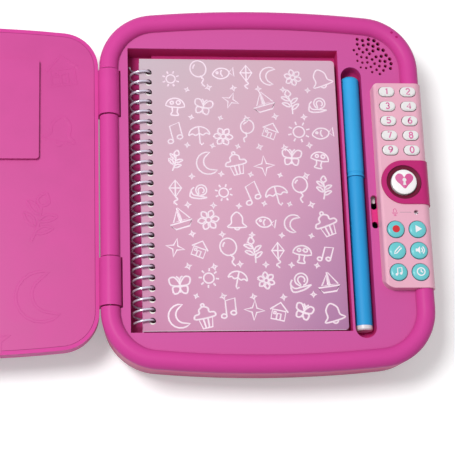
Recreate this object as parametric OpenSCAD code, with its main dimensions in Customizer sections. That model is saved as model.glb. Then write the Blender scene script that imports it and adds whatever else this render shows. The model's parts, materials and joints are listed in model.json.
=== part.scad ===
// Electronic secret diary: a moulded case with a hinged lid, a well with a spiral notebook,
// a groove with a pen, and a keypad strip with number keys, a lock button and round buttons.
// It is drawn with the lid lying open to the left. +X points to the keypad, +Y to the
// speaker end, +Z up. The origin is at the bottom, in the middle of the overall box.

/* [Case] */
// Width of the case, hinge side to keypad side
base_w = 170; // [160:1:185]
// Length of the case along the hinge
base_l = 197; // [190:1:215]
// Height of the recessed deck above the table
deck_z = 32; // [29:0.5:38]
// Plan radius of the case's corners
corner_r = 30; // [26:1:34]
// Plan radius of the two bowed ends
bow_r = 605; // [450:5:900]
// Radius of the round bead that forms the rim
bead_r = 4.9; // [4.5:0.1:5.5]
// Wall thickness of the case shells
wall = 2; // [1.6:0.1:2.4]
// Height of the joint between the lower and upper shells
part_z = 14; // [12:0.5:18]
// How far the upper shell's side leans in from the rim to the joint
side_lean = 1.4; // [0.8:0.1:2]
// How far the lower shell's side leans in below the joint
foot_lean = 1.6; // [1:0.1:2.4]
// Radius of the lower shell's bottom edge
bottom_r = 8; // [5:0.5:9]

/* [Lid] */
// Thickness of the lid
lid_t = 12.5; // [11:0.5:15]
// Gap between the lid's edge and the rim bead when closed
lid_gap = 0.6; // [0.4:0.1:1]
// Gap between the closed lid's inner face and the deck
lid_rest = 0.5; // [0.3:0.1:0.8]
// Radius of the lid's outer edge
lid_edge_r = 5; // [3:0.5:6]
// Outer radius of the hinge knuckles
knuckle_r = 5.6; // [5:0.1:6]
// Inner end of each knuckle, from the middle of the hinge
knuckle_in = 38.5; // [30:0.5:45]
// Outer end of each knuckle, from the middle of the hinge
knuckle_out = 63.5; // [58:0.5:65.5]
// Radius of the hinge pins
pin_r = 1.5; // [1.2:0.1:1.8]
// Width of the raised pad on the lid's inner face
pad_w = 80; // [60:1:90]
// Length of the raised pad
pad_l = 55; // [40:1:60]
// Height of the raised pad
pad_h = 2.2; // [1:0.1:2.4]

/* [Notebook] */
// Width of the notebook
book_w = 104.5; // [98:0.5:105.5]
// Length of the notebook
book_l = 148; // [140:1:149]
// Thickness of the sheaf of pages
pages_t = 4.6; // [3:0.1:5.4]
// Thickness of the front cover
cover_t = 0.8; // [0.6:0.1:1]
// Thickness of the back cover
back_t = 0.9; // [0.6:0.1:1.2]
// How far the front cover lies below the deck
cover_drop = 3; // [2.6:0.1:4]
// Mean radius of the spiral wire
coil_r = 5.4; // [5:0.1:5.5]
// Thickness of the spiral wire
wire_d = 1.1; // [0.9:0.05:1.3]
// Number of turns of the spiral
coil_turns = 25; // [20:1:25]
// Advance of the spiral in one turn
coil_pitch = 5.62; // [5.2:0.02:5.7]
// Gap from the hinge bead's side of the well to the spiral
coil_gap = 0.65; // [0.4:0.05:1]

/* [Well and groove] */
// Distance from the hinge axis to the well
well_x0 = 10; // [9:0.1:12]
// Length of the well
well_l = 154; // [152:1:156]
// Wall thickness of the well and groove
tray_wall = 1.2; // [1:0.1:1.2]
// Half width of the pen groove
groove_r = 5.5; // [5.3:0.1:5.8]
// Distance from the hinge axis to the middle of the groove
groove_x = 128.9; // [128.5:0.1:129.2]
// Upper end of the groove
groove_y1 = 67.4; // [66:0.5:69]
// Lower end of the groove
groove_y0 = -80.7; // [-82:0.5:-79]

/* [Pen] */
// Length of the pen with its cap on
pen_l = 139.5; // [130:0.5:141]
// Radius of the cap
cap_r = 5; // [4.8:0.1:5.1]
// Length of the cap
cap_l = 57; // [45:1:62]
// Radius of the barrel
barrel_r = 4.5; // [4.3:0.1:4.7]
// How far the top of the pen lies below the deck
pen_drop = 0.4; // [0.2:0.1:1]

/* [Keypad] */
// Distance from the hinge axis to the keypad strip
panel_x0 = 139.4; // [139.2:0.1:140]
// Length of the keypad strip
panel_l = 112; // [108:1:116]
// Height of the strip above the deck
panel_h = 5.5; // [5.3:0.1:6.5]
// Radius of the strip's long outer edge
panel_edge_r = 4.5; // [3:0.5:5]
// Wall thickness of the strip
panel_t = 1.8; // [1.6:0.1:2.2]
// How far the strip reaches down the side below the deck
panel_skirt = 8; // [5:0.5:10]
// Length of a number key
key_l = 8.2; // [7.5:0.1:8.6]
// Width of a number key
key_w = 5.2; // [4.5:0.1:5.6]
// Distance between the rows of number keys
key_pitch = 8.2; // [7.8:0.1:8.5]
// Distance between the two columns of keys
col_pitch = 11.4; // [11:0.1:11.8]
// Diameter of a round button
button_d = 8.8; // [8:0.1:9.2]
// Distance between the rows of round buttons
button_pitch = 11.4; // [10.8:0.1:11.8]
// Diameter of the lock button
lock_d = 13.4; // [12:0.1:14]
// Outer diameter of the light ring
ring_d = 18.2; // [17:0.1:18.6]
// Radius of the lock surround
surround_r = 11.9; // [11:0.1:12.2]
// Gap all round a key in its opening
key_gap = 0.35; // [0.25:0.05:0.5]
// How far the keys stand above the strip
key_rise = 1.1; // [0.9:0.1:1.5]
// How far a key travels when it is pressed
key_travel = 0.8; // [0.6:0.05:0.9]

/* [Latch] */
// Distance from the hinge axis to the latch slot
slot_x = 137; // [136.8:0.1:137.1]
// Width of the latch slot
slot_w = 3.4; // [3:0.1:3.4]
// Travel of the latch
latch_travel = 3; // [2.5:0.1:3]

/* [Speaker] */
// Diameter of the speaker
speaker_d = 26; // [24:1:26]
// Number of holes in the speaker grille
grille_n = 57; // [40:1:60]
// Radius of the grille
grille_r = 12.4; // [10:0.1:12.5]

/* [Battery bay] */
// Diameter of a battery
cell_d = 14.5; // [14.1:0.1:14.5]
// Length of a battery
cell_l = 50.5; // [49.5:0.1:50.5]
// Number of batteries
cell_n = 3; // [2:1:4]

/* [Hidden] */

eps = 0.01;
pin_play = 0.06;
round_n = 72;
rim_col = [0.85, 0.31, 0.62];
deck_col = [0.83, 0.40, 0.67];
lower_col = [0.76, 0.22, 0.52];
panel_col = [0.90, 0.69, 0.78];
surround_col = [0.78, 0.25, 0.58];
ring_col = [0.40, 0.08, 0.18];
teal_col = [0.40, 0.82, 0.84];
blue_col = [0.22, 0.62, 0.87];
white_col = [0.96, 0.95, 0.95];
steel_col = [0.78, 0.78, 0.82];
board_col = [0.10, 0.42, 0.25];
black_col = [0.12, 0.12, 0.13];

// Plan of the case, measured from the hinge axis
base_x0 = -bead_r;
base_x1 = base_x0 + base_w;
mid_x = (base_x0 + base_x1) / 2;
cen_x = base_w / 2 - corner_r;
bow_y = base_l / 2 - bow_r;
// Radius inside which nothing is swept at the corners
core_r = 4;
bow_a = asin(cen_x / (bow_r - corner_r));
cen_y = bow_y + sqrt((bow_r - corner_r) ^ 2 - cen_x ^ 2);
rim_inner = corner_r - 2 * bead_r;
lid_r = rim_inner - lid_gap;
lid_reach = mid_x + cen_x + lid_r;
surround_rise = 0.7;
panel_x1 = base_x1 + 0.6;
hinge_x = -(panel_x1 + surround_rise - lid_reach) / 2;

// Heights
foot_proud = 1.2;
floor_z = foot_proud;
cover_z = deck_z - cover_drop;
book_t = cover_t + pages_t + back_t + 0.2;
book_z0 = cover_z - book_t;
well_z = book_z0 - 0.1;
coil_z = cover_z - book_t / 2;
channel_z = coil_z - coil_r - wire_d / 2 - 0.1;
pen_z = deck_z - pen_drop - cap_r;
groove_z = pen_z + groove_r - cap_r - 0.1;
panel_z = deck_z + panel_h;
surround_z = panel_z + surround_rise;

// Places along X, from the hinge axis
well_x1 = groove_x - groove_r - tray_wall;
coil_x = well_x0 + coil_gap + coil_r + wire_d / 2;
book_x0 = coil_x - 0.4;
channel_x1 = coil_x + coil_r + wire_d / 2 + 0.6;
hole_x = coil_x + 4.9;
// Mean place of the wire in a cover hole, from closed to turned back
cover_open = 100;
cover_hole_dx = -0.5;
cover_hole_dy = -coil_pitch * (asin((book_t / 2 - cover_t / 2) / coil_r) + cover_open / 2) / 360;
col_x = [panel_x0 + 6.9, panel_x0 + 6.9 + col_pitch];
lock_x = panel_x0 + 12.9;
book_y = -1.7;
coil_y0 = book_y - coil_turns * coil_pitch / 2;
pen_y1 = groove_y1 - 3.9;
lock_y = 0.5;
key_y = [for (i = [0:4]) lock_y + surround_r + 5.8 + (4 - i) * key_pitch];
mic_y = lock_y - surround_r - 4.4;
button_y = [for (i = [0:2]) mic_y - 9.3 - i * button_pitch];
speaker_x = base_x1 - 21.9;
speaker_y = base_l / 2 - 22.5;
board_t = 1.6;
board_z = deck_z - 2.2;
membrane_t = 0.9;
membrane_z = board_z;
flange_t = 0.9;
flange_z = panel_z - panel_t - 0.1 - flange_t;
dome_z = flange_z - key_travel - 0.1;
surround_sink = 0.9;
surround_drop = surround_rise + surround_sink;
lock_top = surround_z + 0.9;
lock_sink = 1.1;
ring_z = surround_z - 0.8;
solenoid_x = 142.6;
solenoid_z = deck_z - 13;
solenoid_y0 = 5.5;
solenoid_l = 17;
bay_x0 = 34;
bay_y = -6;
bay_pitch = cell_d + 0.6;
bay_w = cell_l + 6;
bay_l = cell_n * bay_pitch + 1;
door_t = 1.8;
cell_z = floor_z + door_t + 0.3 + cell_d / 2;
bay_top = cell_z + cell_d / 2 + 0.3;
hook_y = -10.4;
post_y = -20.9;

function arc(cx, cy, r, a0, a1, n) =
  [for (i = [0:n]) let (a = a0 + (a1 - a0) * i / n) [cx + r * cos(a), cy + r * sin(a)]];

// The case's plan at a distance r from the centres of the corner curves, as points
function plan_points(r) =
  let (b = bow_r - corner_r + r, d = bow_a / 5)
  concat(arc(mid_x + cen_x, cen_y, r, 0, 90 - bow_a, 18),
    arc(mid_x, bow_y, b, 90 - bow_a + d, 90 + bow_a - d, 8),
    arc(mid_x - cen_x, cen_y, r, 90 + bow_a, 180, 18), arc(mid_x - cen_x, -cen_y, r, 180, 270 - bow_a, 18),
    arc(mid_x, -bow_y, b, 270 - bow_a + d, 270 + bow_a - d, 8),
    arc(mid_x + cen_x, -cen_y, r, 270 + bow_a, 360, 18));

// Moves children from hinge-axis places to the model's own frame
module placed() { translate([hinge_x, 0, 0]) children(); }

// Sweeps a half profile round the case's plan; the profile's x is measured outwards from
// the centres of the corner curves
module swept(halves = false) {
  translate([mid_x, 0, 0]) {
    for (sx = [0, 1], sy = [0, 1])
      mirror([sx, 0, 0]) mirror([0, sy, 0]) translate([cen_x, cen_y, 0])
        rotate_extrude(angle = 90 - bow_a, $fn = 128) children();
    for (sx = [0, halves ? 1 : 0], sy = [0, 1])
      mirror([sx, 0, 0]) mirror([0, sy, 0]) translate([0, bow_y, 0]) rotate([0, 0, halves ? 90 : 90 - bow_a])
        rotate_extrude(angle = halves ? bow_a : 2 * bow_a, $fn = 720) translate([bow_r - corner_r, 0]) children();
    for (sx = [0, 1])
      mirror([sx, 0, 0]) translate([cen_x, cen_y, 0]) rotate([90, 0, 0])
        linear_extrude(2 * cen_y) children();
  }
}

// The middle of the plan; it overlaps the inner edge of what is swept round it
module filled(z0, z1) {
  bow_rise = base_l / 2 - corner_r - cen_y;
  translate([mid_x, 0, z0]) linear_extrude(z1 - z0)
    square([2 * (cen_x + core_r + 1), 2 * (cen_y + core_r + 1 + bow_rise)], center = true);
}

// A plate with the case's plan between two heights
module slab(r, z0, z1) {
  translate([0, 0, z0]) linear_extrude(z1 - z0) polygon(plan_points(r));
}

// A solid through a stack of closed rings of points, from the lowest to the highest
module ring_stack(rings) {
  n = len(rings);
  m = len(rings[0]);
  polyhedron([for (r = rings) each r],
    concat([[for (k = [0:m - 1]) k]], [[for (k = [0:m - 1]) n * m - 1 - k]],
      [for (i = [0:n - 2], k = [0:m - 1]) let (a = i * m + k, b = i * m + (k + 1) % m) [a, b + m, b]],
      [for (i = [0:n - 2], k = [0:m - 1]) let (a = i * m + k, b = i * m + (k + 1) % m) [a, a + m, b + m]]));
}

// Rings with the case's plan, one for each point of a half profile
function plan_rings(profile) = [for (q = profile) [for (p = plan_points(q[0])) [p[0], p[1], q[1]]]];

// Half profile of a flat plate that reaches out to r
module square_at(r, z0, z1) { translate([core_r, z0]) square([r - core_r, z1 - z0]); }

module block(x0, x1, y0, y1, z0, z1) {
  translate([x0, y0, z0]) cube([x1 - x0, y1 - y0, z1 - z0]);
}

module tube_hole(x, y, z0, z1, r) {
  translate([x, y, z0]) cylinder(r = r, h = z1 - z0, $fn = 48);
}

module along_y(x, y0, y1, z, r) {
  translate([x, y0, z]) rotate([-90, 0, 0]) cylinder(r = r, h = y1 - y0, $fn = round_n);
}

// A slot with round ends, long way along X or Y
module stadium(l, w, h) {
  linear_extrude(h) {
    square([l - w, w], center = true);
    for (s = [-1, 1]) translate([s * (l - w) / 2, 0]) circle(d = w, $fn = 48);
  }
}

// Case, upper shell

module bead_profile() {
  cx = corner_r - bead_r;
  intersection() {
    translate([cx, deck_z]) difference() {
      circle(r = bead_r, $fn = 96);
      circle(r = bead_r - wall, $fn = 96);
    }
    translate([cx - bead_r - 1, deck_z - wall]) square([2 * bead_r + 2, bead_r + wall + 1]);
  }
  square_at(cx - bead_r + wall / 2, deck_z - wall, deck_z);
  polygon([[corner_r, deck_z], [corner_r - wall, deck_z],
    [corner_r - side_lean - wall, part_z], [corner_r - side_lean - 0.5, part_z],
    [corner_r - side_lean - 0.5, part_z + 0.6], [corner_r - side_lean + 0.05, part_z + 0.6]]);
}

module groove_form(r, top) {
  y0 = groove_y0 + groove_r;
  y1 = groove_y1 - groove_r;
  along_y(groove_x, y0, y1, groove_z, r);
  for (y = [y0, y1]) translate([groove_x, y, groove_z]) sphere(r = r, $fn = round_n);
  block(groove_x - r, groove_x + r, y0, y1, groove_z, top);
  for (y = [y0, y1]) tube_hole(groove_x, y, groove_z, top, r);
}

module knuckle_pocket(s) {
  r = knuckle_r + 0.6;
  y0 = s > 0 ? knuckle_in - 0.6 : -knuckle_out - 0.6;
  y1 = s > 0 ? knuckle_out + 0.6 : -knuckle_in + 0.6;
  block(base_x0 - 3, r, y0, y1, deck_z, deck_z + bead_r + 2);
  block(base_x0 - 3, 0, y0, y1, deck_z - r, deck_z + 1);
  along_y(0, y0, y1, deck_z, r);
}

module grille() {
  c = grille_r / sqrt(grille_n);
  for (i = [1:grille_n]) {
    a = i * 137.508;
    x = speaker_x + c * sqrt(i) * cos(a);
    y = speaker_y + c * sqrt(i) * sin(a);
    out = norm([x - mid_x - cen_x, y - cen_y]);
    if (out < rim_inner - 1.2)
      tube_hole(x, y, deck_z - wall - 1, deck_z + 1,
        0.95 + 0.035 * ((x - speaker_x) + (y - speaker_y)) / 2);
  }
}

module base_upper_shell() {
  color(rim_col) placed() difference() {
    union() {
      swept() bead_profile();
      filled(deck_z - wall, deck_z);
      block(well_x0 - tray_wall, well_x1 + tray_wall, -well_l / 2 - tray_wall,
        well_l / 2 + tray_wall, well_z - tray_wall, deck_z - eps);
      block(well_x0 - tray_wall, channel_x1 + tray_wall, -well_l / 2 - tray_wall,
        well_l / 2 + tray_wall, channel_z - tray_wall, deck_z - eps);
      groove_form(groove_r + 0.9, deck_z - eps);
      for (s = [-1, 1]) {
        along_y(0, s > 0 ? knuckle_in - 10 : -knuckle_out - 5.6, s > 0 ? knuckle_out + 5.6 : 10 - knuckle_in,
          deck_z, bead_r - wall / 2);
        pocket_floor(s);
      }
      latch_rails();
      speaker_ring();
      for (p = base_screw_places) tube_hole(p[0], p[1], part_z, deck_z - 1, 3.6);
    }
    block(well_x0, well_x1, -well_l / 2, well_l / 2, well_z, deck_z + 8);
    block(well_x0, channel_x1, -well_l / 2, well_l / 2, channel_z, deck_z + 8);
    groove_form(groove_r, deck_z + 8);
    for (s = [-1, 1]) knuckle_pocket(s);
    for (s = [-1, 1]) mirror([0, s > 0 ? 0 : 1, 0])
      along_y(0, knuckle_in - 8.6, knuckle_out + 4.6, deck_z, pin_r + 0.02);
    keypad_cutout();
    latch_slot();
    grille();
    for (p = base_screw_places) tube_hole(p[0], p[1], part_z - 1, part_z + 9, 1.3);
  }
}

base_screw_places = let (y = base_l / 2 - 15.5)
  [[30, y], [30, -y], [118, y], [118, -y], [base_x1 - 15.1, y - 25], [base_x1 - 15.1, 21 - y]];

// Closes the case below each knuckle
module pocket_floor(s) {
  r = knuckle_r + 0.6;
  y0 = s > 0 ? knuckle_in - 1.8 : -knuckle_out - 1.8;
  y1 = s > 0 ? knuckle_out + 1.8 : -knuckle_in + 1.8;
  block(base_x0 + 1, r + 1.2, y0, y1, deck_z - r - 1.2, deck_z - wall);
}

module keypad_cutout() {
  y = panel_l / 2;
  block(panel_x0 + panel_t + 1, base_x1 - 9, -y + panel_t + 0.2, y - panel_t - 0.2,
    deck_z - wall - 1, deck_z + 1);
  block(base_x1 - 9.8, base_x1 + 2, -y - 0.05, y + 0.05, deck_z - panel_skirt, deck_z + 9);
}

module latch_slot() {
  translate([slot_x, (hook_y + post_y) / 2 + 1.8, deck_z - 1]) rotate([0, 0, 90]) stadium(18, slot_w, 3);
  translate([slot_x, hook_y + 1.8, deck_z - wall - 1]) rotate([0, 0, 90]) stadium(7.6, slot_w - 0.2, 3);
  translate([slot_x, post_y, deck_z - wall - 1]) rotate([0, 0, 90]) stadium(4, slot_w - 0.2, 3);
}

module latch_rails() {
  for (s = [-1, 1])
    block(slot_x + s * 2.4 - 0.5, slot_x + s * 2.4 + 0.5, hook_y + 2.8, hook_y + 8,
      deck_z - 6.2, deck_z - wall + eps);
}

module speaker_ring() {
  translate([speaker_x, speaker_y, deck_z - wall - 2]) difference() {
    cylinder(d = speaker_d + 2.6, h = 2.5, $fn = round_n);
    translate([0, 0, -1]) cylinder(d = speaker_d + 0.4, h = 3, $fn = round_n);
  }
}

// Case, lower shell

module lower_profile(inner) {
  w = inner ? wall : 0;
  z0 = floor_z + w;
  z1 = part_z + (inner ? 1 : 0);
  cx = corner_r - side_lean - foot_lean - bottom_r;
  polygon(concat([[core_r, z0]], arc(cx, floor_z + bottom_r, bottom_r - w, -90, -8, 7),
    [[corner_r - side_lean - w, z1], [core_r, z1]]));
}

module base_lower_shell() {
  color(lower_col) placed() difference() {
    union() {
      difference() {
        union() {
          swept(true) lower_profile(false);
          filled(floor_z, part_z);
        }
        swept(true) lower_profile(true);
        filled(floor_z + wall, part_z + 1);
      }
      block(bay_x0 - 1.4, bay_x0 + bay_w + 1.4, bay_y - bay_l / 2 - 1.4, bay_y + bay_l / 2 + 1.4,
        floor_z, bay_top + 1.2);
      for (p = base_screw_places) tube_hole(p[0], p[1], floor_z, part_z - 0.05, 4);
      for (x = [col_x[0] - 1, col_x[1] - 2], y = [-46, 46])
        tube_hole(x, y, floor_z, board_z - board_t, 2.5);
      for (x = [104, 124], y = [-40, 10]) tube_hole(x, y, floor_z, 7, 2.5);
      for (y = [4, solenoid_l - 4]) tube_hole(solenoid_x, solenoid_y0 + y, floor_z, solenoid_z - 5, 3);
      tube_hole(bay_x0 + bay_w + 6, bay_y, floor_z, floor_z + 8, 3);
      translate([0, 0, floor_z]) door_plan(1.6, door_t + 1.6);
    }
    block(bay_x0, bay_x0 + bay_w, bay_y - bay_l / 2, bay_y + bay_l / 2, floor_z - 1, bay_top);
    translate([0, 0, floor_z - 1]) door_plan(0.25, 1 + door_t);
    for (p = base_screw_places) {
      tube_hole(p[0], p[1], floor_z - 1, part_z - 4, 3);
      tube_hole(p[0], p[1], floor_z - 1, part_z + 1, 1.65);
    }
    tube_hole(bay_x0 + bay_w + 6, bay_y, floor_z - 1, floor_z + 6.4, 1.1);
    for (p = foot_places) tube_hole(p[0], p[1], floor_z - 1, floor_z + 1, 6.1);
  }
}

foot_places = [for (x = [base_x0 + 20.9, base_x1 - 25.1], s = [1, -1]) [x, s * (base_l / 2 - 24.5)]];

module door_plan(grow, h) {
  linear_extrude(h) {
    translate([bay_x0 - 3 - grow, bay_y - bay_l / 2 - 3 - grow])
      square([bay_w + 6 + 2 * grow, bay_l + 6 + 2 * grow]);
    translate([bay_x0 + bay_w + 3, bay_y - 7 - grow]) square([3, 14 + 2 * grow]);
    translate([bay_x0 + bay_w + 6, bay_y]) circle(r = 7 + grow, $fn = 64);
  }
}

module battery_door() {
  color(lower_col) placed() difference() {
    union() {
      translate([0, 0, floor_z]) door_plan(0, door_t - 0.1);
      for (i = [0:5]) block(bay_x0 + 6 + 4 * i, bay_x0 + 7.2 + 4 * i, bay_y - 12, bay_y + 12,
        floor_z - 0.4, floor_z + eps);
    }
    tube_hole(bay_x0 + bay_w + 6, bay_y, floor_z - 1, floor_z + door_t + 1, 1.65);
    tube_hole(bay_x0 + bay_w + 6, bay_y, floor_z - 1, floor_z + 1.05, 3.2);
  }
}

// A pan-head screw standing on its head, with a cross recess
module screw(r, head_r, head_h, l) {
  difference() {
    union() {
      cylinder(r = head_r, h = head_h, $fn = 48);
      cylinder(r = r, h = l, $fn = 32);
    }
    for (a = [0, 90]) rotate([0, 0, a]) translate([-head_r * 0.6, -0.3, -eps]) cube([head_r * 1.2, 0.6, 0.7]);
  }
}

module battery_door_screw() {
  color(steel_col) placed() translate([bay_x0 + bay_w + 6, bay_y, floor_z + 0.05]) screw(1.05, 2.9, 1, 6);
}

module base_screws() {
  color(steel_col) placed() for (p = base_screw_places)
    translate([p[0], p[1], part_z - 6]) screw(1.25, 2.7, 1.9, 13);
}

module rubber_feet() {
  color(black_col) placed() for (p = foot_places) {
    tube_hole(p[0], p[1], 0.4, floor_z + 0.95, 6);
    tube_hole(p[0], p[1], 0, 0.5, 5.4);
  }
}

module batteries() {
  color([0.25, 0.30, 0.36]) placed() for (i = [0:cell_n - 1])
    translate([bay_x0 + 3, bay_y + (i - (cell_n - 1) / 2) * bay_pitch, cell_z])
      mirror([i % 2, 0, 0]) translate([i % 2 ? -cell_l : 0, 0, 0]) rotate([0, 90, 0]) {
        cylinder(d = cell_d, h = cell_l - 1.2, $fn = 64);
        cylinder(d = 5.5, h = cell_l, $fn = 48);
      }
}

module battery_contacts() {
  color(steel_col) placed() for (i = [0:cell_n - 1], s = [0, 1])
    translate([s ? bay_x0 + bay_w : bay_x0, bay_y + (i - (cell_n - 1) / 2) * bay_pitch, cell_z])
      mirror([s, 0, 0]) {
        translate([0, -5, -5]) cube([0.5, 10, 10]);
        rotate([0, 90, 0]) cylinder(r1 = 3.6, r2 = 2, h = 2.8, $fn = 32);
      }
}

module main_board() {
  color(board_col) placed() difference() {
    union() {
      block(100, 128, -45, 15, 7, 8.6);
      block(108, 120, -22, -10, 8.6, 10.4);
      tube_hole(106, 4, 8.6, 15, 2.5);
      tube_hole(120, 5, 8.6, 14, 2.5);
      block(102, 112, -42, -34, 8.6, 12);
    }
    for (x = [104, 124], y = [-40, 10]) tube_hole(x, y, 6.9, 7.8, 0.9);
  }
}

module speaker() {
  color(black_col) placed() translate([speaker_x, speaker_y, deck_z - wall - 8])
    rotate_extrude($fn = round_n)
      polygon([[0, 0], [7, 0], [7, 3], [9, 3], [speaker_d / 2, 6.2], [speaker_d / 2, 7.9],
        [speaker_d / 2 - 1.2, 7.9], [speaker_d / 2 - 1.2, 7.2], [10.6, 6.6], [5, 4.6],
        [3.4, 5.6], [0, 6.3]]);
}

module microphone() {
  color(steel_col) placed() translate([col_x[1], mic_y, 0]) difference() {
    tube_hole(0, 0, board_z + membrane_t, panel_z - panel_t - 0.1, 2.9);
    tube_hole(0, 0, panel_z - panel_t - 0.8, panel_z, 1.6);
  }
}

// Latch

module latch_solenoid() {
  color(steel_col) placed() difference() {
    union() {
      block(solenoid_x - 5.8, solenoid_x + 5.8, solenoid_y0, solenoid_y0 + 1.2, solenoid_z - 5, solenoid_z + 5);
      block(solenoid_x - 5.8, solenoid_x + 5.8, solenoid_y0 + solenoid_l - 1.2, solenoid_y0 + solenoid_l,
        solenoid_z - 5, solenoid_z + 5);
      block(solenoid_x - 5.8, solenoid_x + 5.8, solenoid_y0, solenoid_y0 + solenoid_l, solenoid_z - 5,
        solenoid_z - 3.9);
      along_y(solenoid_x, solenoid_y0 + 1, solenoid_y0 + solenoid_l - 1, solenoid_z, 4.4);
    }
    along_y(solenoid_x, solenoid_y0 - 1, solenoid_y0 + solenoid_l - 1.5, solenoid_z, 2.08);
  }
}

module latch_slider() {
  tip = hook_y + 2.6;
  color(white_col) placed() {
    difference() {
      block(slot_x - 1.5, slot_x + 1.5, tip, 2, deck_z - 6.2, deck_z - 4.6);
      translate([slot_x - 2, tip, deck_z - 4.6]) rotate([-30, 0, 0]) translate([0, -4, 0]) cube([4, 4, 3]);
    }
    block(slot_x - 1.5, solenoid_x + 2, -2, 2, solenoid_z - 2, deck_z - 4.6);
    along_y(solenoid_x, 1, solenoid_y0 + solenoid_l - 2 - latch_travel, solenoid_z, 2);
  }
}

module lid_switch() {
  color(black_col) placed() {
    block(slot_x - 2.4, slot_x + 3, post_y - 3, post_y + 3, deck_z - 13, deck_z - 9);
    tube_hole(slot_x, post_y, deck_z - 9 - eps, deck_z - 8, 1.4);
    block(slot_x - 1.4, slot_x + 3, post_y - 4.4, post_y - 2.9, deck_z - 13, deck_z - wall);
  }
}

// Hinge pins

module hinge_pins() {
  color(steel_col) placed() for (s = [0, 1]) mirror([0, s, 0])
    along_y(0, knuckle_in - 8.4, knuckle_out + 4.4, deck_z, pin_r);
}

// Keypad

module strip_profile(inset) {
  r = panel_edge_r - inset;
  x0 = panel_x0 + inset;
  x1 = panel_x1 - inset;
  top = panel_z - inset;
  polygon(concat([[x0 - (inset ? 0 : 0.7), deck_z - (inset ? 1 : 0)]],
    arc(x0 + 1.6, top - 1.6, 1.6, 180, 90, 4),
    arc(x1 - r, top - r, r, 90, 0, 10),
    [[x1, deck_z - panel_skirt - (inset ? 1 : 0)],
     [base_x1 - 9.7 - (inset ? 1 : 0), deck_z - panel_skirt - (inset ? 1 : 0)],
     [base_x1 - 9.7 - (inset ? 1 : 0), deck_z - (inset ? 1 : 0)]]));
}

// The strip's plan has round corners on the hinge side
module strip_plan(inset) {
  r0 = 3;
  r1 = 6;
  y = panel_l / 2 - inset;
  x = panel_x0 + inset - 0.7;
  linear_extrude(3 * deck_z) {
    translate([x + r1, -y]) square([60, 2 * y]);
    translate([x, -y + r1]) square([20, 2 * y - r1 - r0]);
    translate([x + r0, y - r0 - 1]) square([20, r0 + 1]);
    translate([x + r0, y - r0]) circle(r = r0, $fn = 64);
    translate([x + r1, -y + r1]) circle(r = r1, $fn = 64);
  }
}

module strip_solid(inset) {
  intersection() {
    translate([0, panel_l / 2, 0]) rotate([90, 0, 0]) linear_extrude(panel_l) strip_profile(inset);
    strip_plan(inset);
  }
}

module key_opening(x, y, grow) {
  translate([x, y, flange_z]) stadium(key_l + 2 * grow, key_w + 2 * grow, 20);
}

module keypad_panel() {
  color(panel_col) placed() difference() {
    strip_solid(0);
    strip_solid(panel_t);
    for (x = col_x, y = key_y) key_opening(x, y, key_gap);
    for (x = col_x, y = button_y) tube_hole(x, y, flange_z, panel_z + 5, button_d / 2 + key_gap);
    tube_hole(lock_x, lock_y, flange_z - 2, panel_z + 5, ring_d / 2 + 0.15);
    tube_hole(col_x[1], mic_y, flange_z, panel_z + 5, 1.25);
    surround_solid(0.05, 9);
  }
}

// The surround's plan: round towards the hinge, square towards the side
module surround_plan(grow) {
  translate([lock_x, lock_y]) circle(r = surround_r + grow, $fn = 96);
  translate([lock_x, lock_y - surround_r - grow]) square([30, 2 * (surround_r + grow)]);
}

module surround_solid(grow, over) {
  r_out = panel_edge_r + surround_rise + over;
  r_in = panel_edge_r - surround_sink - grow;
  x1 = panel_x1 - panel_edge_r;
  z1 = panel_z - panel_edge_r;
  low = deck_z - panel_skirt + 2;
  intersection() {
    translate([0, 40, 0]) rotate([90, 0, 0]) linear_extrude(80)
      polygon(concat([[panel_x0 - 2, z1 + r_in], [panel_x0 - 2, z1 + r_out]],
        arc(x1, z1, r_out, 90, 0, 12), [[x1 + r_out, low], [x1 + r_in, low]],
        arc(x1, z1, r_in, 0, 90, 12)));
    linear_extrude(3 * deck_z) surround_plan(grow);
  }
}

module lock_surround() {
  color(surround_col) placed() difference() {
    surround_solid(0, 0);
    tube_hole(lock_x, lock_y, deck_z, panel_z + 9, ring_d / 2 + 0.15);
  }
}

module light_ring() {
  z0 = panel_z - panel_t - 1.1;
  r = ring_d / 2 + 0.6;
  color(ring_col) placed() translate([lock_x, lock_y, 0]) rotate_extrude($fn = 96)
    polygon([[lock_d / 2 + 0.35, z0], [r, z0], [r, z0 + 0.8],
      [ring_d / 2, z0 + 0.8], [ring_d / 2, ring_z], [lock_d / 2 + 0.35, ring_z - 0.5]]);
}

module key_membrane() {
  color([0.86, 0.84, 0.85]) placed() difference() {
    union() {
      block(panel_x0 + 3.2, panel_x1 - 3, -52, 52.6, membrane_z, membrane_z + membrane_t);
      for (x = col_x, y = key_y) tube_hole(x, y, membrane_z, dome_z, 1.8);
      for (x = col_x, y = button_y) tube_hole(x, y, membrane_z, dome_z, 2.4);
      tube_hole(lock_x, lock_y, membrane_z, dome_z - lock_sink, 3.4);
    }
    tube_hole(col_x[1], mic_y, membrane_z - 1, membrane_z + 3, 3.2);
  }
}

module keypad_board() {
  color(board_col) placed() {
    block(panel_x0 + 2.6, panel_x1 - 3, -53.4, 53.4, board_z - board_t, board_z);
    tube_hole(col_x[1], mic_y, board_z, board_z + membrane_t, 2.9);
    block(150, 158, -14, -6, board_z - board_t - 1.2, board_z - board_t);
  }
}

// A number key with its sprung flange; the top edge is chamfered as the moulded key's is
module number_key(x, y) {
  color(white_col) placed() translate([x, y, 0]) {
    translate([0, 0, flange_z]) stadium(key_l - 0.4, key_w + 1.2, flange_t);
    translate([0, 0, flange_z]) stadium(key_l, key_w, panel_z + key_rise - 0.5 - flange_z);
    translate([0, 0, panel_z + key_rise - 0.5]) stadium(key_l - 0.5, key_w - 0.5, 0.25);
    translate([0, 0, panel_z + key_rise - 0.25]) stadium(key_l - 1.2, key_w - 1.2, 0.25);
  }
}

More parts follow.
